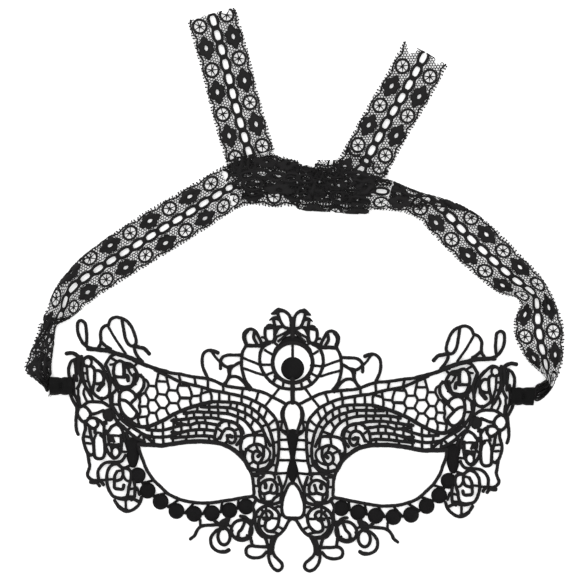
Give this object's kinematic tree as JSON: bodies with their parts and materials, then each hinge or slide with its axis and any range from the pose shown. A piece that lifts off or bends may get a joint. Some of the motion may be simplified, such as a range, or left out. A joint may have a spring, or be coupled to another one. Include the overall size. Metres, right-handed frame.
{
  "type": "lace masquerade eye mask",
  "caption": "Lace masquerade eye mask of corded scrolls and padded satin shapes, with satin sleeves holding lace ribbon ties knotted into a head loop with loose ends.",
  "frame": {"origin": "back of the nose bridge, on the plane that the mask lies on", "axes": "+X to the right as seen from the front, +Y up the forehead, +Z out of the mask's front"},
  "size_m": [0.257, 0.2717, 0.0048],
  "materials": {
    "lace_cord": "dull satin-stitched polyester thread",
    "padded_satin": "padded satin stitch with a soft sheen",
    "sleeve_satin": "smooth woven satin",
    "ribbon_lace": "fine knitted lace, picot edged",
    "knot_lace": "folded lace ribbon, pulled tight"
  },
  "bodies": {
    "mask": {"medallion_rings": "lace_cord", "medallion_pupil": "padded_satin", "medallion_crescent": "padded_satin", "crown_scrolls": "lace_cord", "nose_teardrop": "lace_cord", "nose_leaf": "padded_satin", "nose_arch": "lace_cord", "left_ear_lobe": "lace_cord", "right_ear_lobe": "lace_cord", "left_brow_scrolls": "lace_cord", "right_brow_scrolls": "lace_cord", "left_brow_band": "lace_cord", "right_brow_band": "lace_cord", "left_honeycomb": "lace_cord", "right_honeycomb": "lace_cord", "left_lid_bands": "lace_cord", "right_lid_bands": "lace_cord", "left_eye_rim": "lace_cord", "right_eye_rim": "lace_cord", "left_inner_rosettes": "lace_cord", "right_inner_rosettes": "lace_cord", "left_nose_rosettes": "lace_cord", "right_nose_rosettes": "lace_cord", "left_lower_curls": "lace_cord", "right_lower_curls": "lace_cord", "left_bottom_drops": "lace_cord", "right_bottom_drops": "lace_cord", "left_dot_row": "padded_satin", "right_dot_row": "padded_satin", "left_satin_leaf": "padded_satin", "right_satin_leaf": "padded_satin", "left_temple_spirals": "lace_cord", "right_temple_spirals": "lace_cord", "left_side_scrolls": "lace_cord", "right_side_scrolls": "lace_cord", "left_cheek_rosette": "lace_cord", "right_cheek_rosette": "lace_cord", "left_plume": "lace_cord", "right_plume": "lace_cord", "left_sleeve": "sleeve_satin", "right_sleeve": "sleeve_satin"},
    "strap": {"left_tie": "ribbon_lace", "right_tie": "ribbon_lace", "left_knot_fold": "knot_lace", "right_knot_fold": "knot_lace"},
    "left_loose_end": {"left_tail": "ribbon_lace"},
    "right_loose_end": {"right_tail": "ribbon_lace"}
  },
  "joints": [
    {"name": "strap_swing", "type": "hinge", "parent": "mask", "child": "strap", "pos_m": [-0.1108, 0.0412, 0.0023], "axis": [0.9998, -0.0222, 0], "range_deg": [-150, 150]},
    {"name": "left_tail_flop", "type": "hinge", "parent": "strap", "child": "left_loose_end", "pos_m": [-0.0202, 0.1507, 0.00135], "axis": [0.965, 0.2622, 0], "range_deg": [-90, 90]},
    {"name": "right_tail_flop", "type": "hinge", "parent": "strap", "child": "right_loose_end", "pos_m": [0.0338, 0.1464, 0.00135], "axis": [0.8746, -0.4848, 0], "range_deg": [-90, 90]}
  ]
}
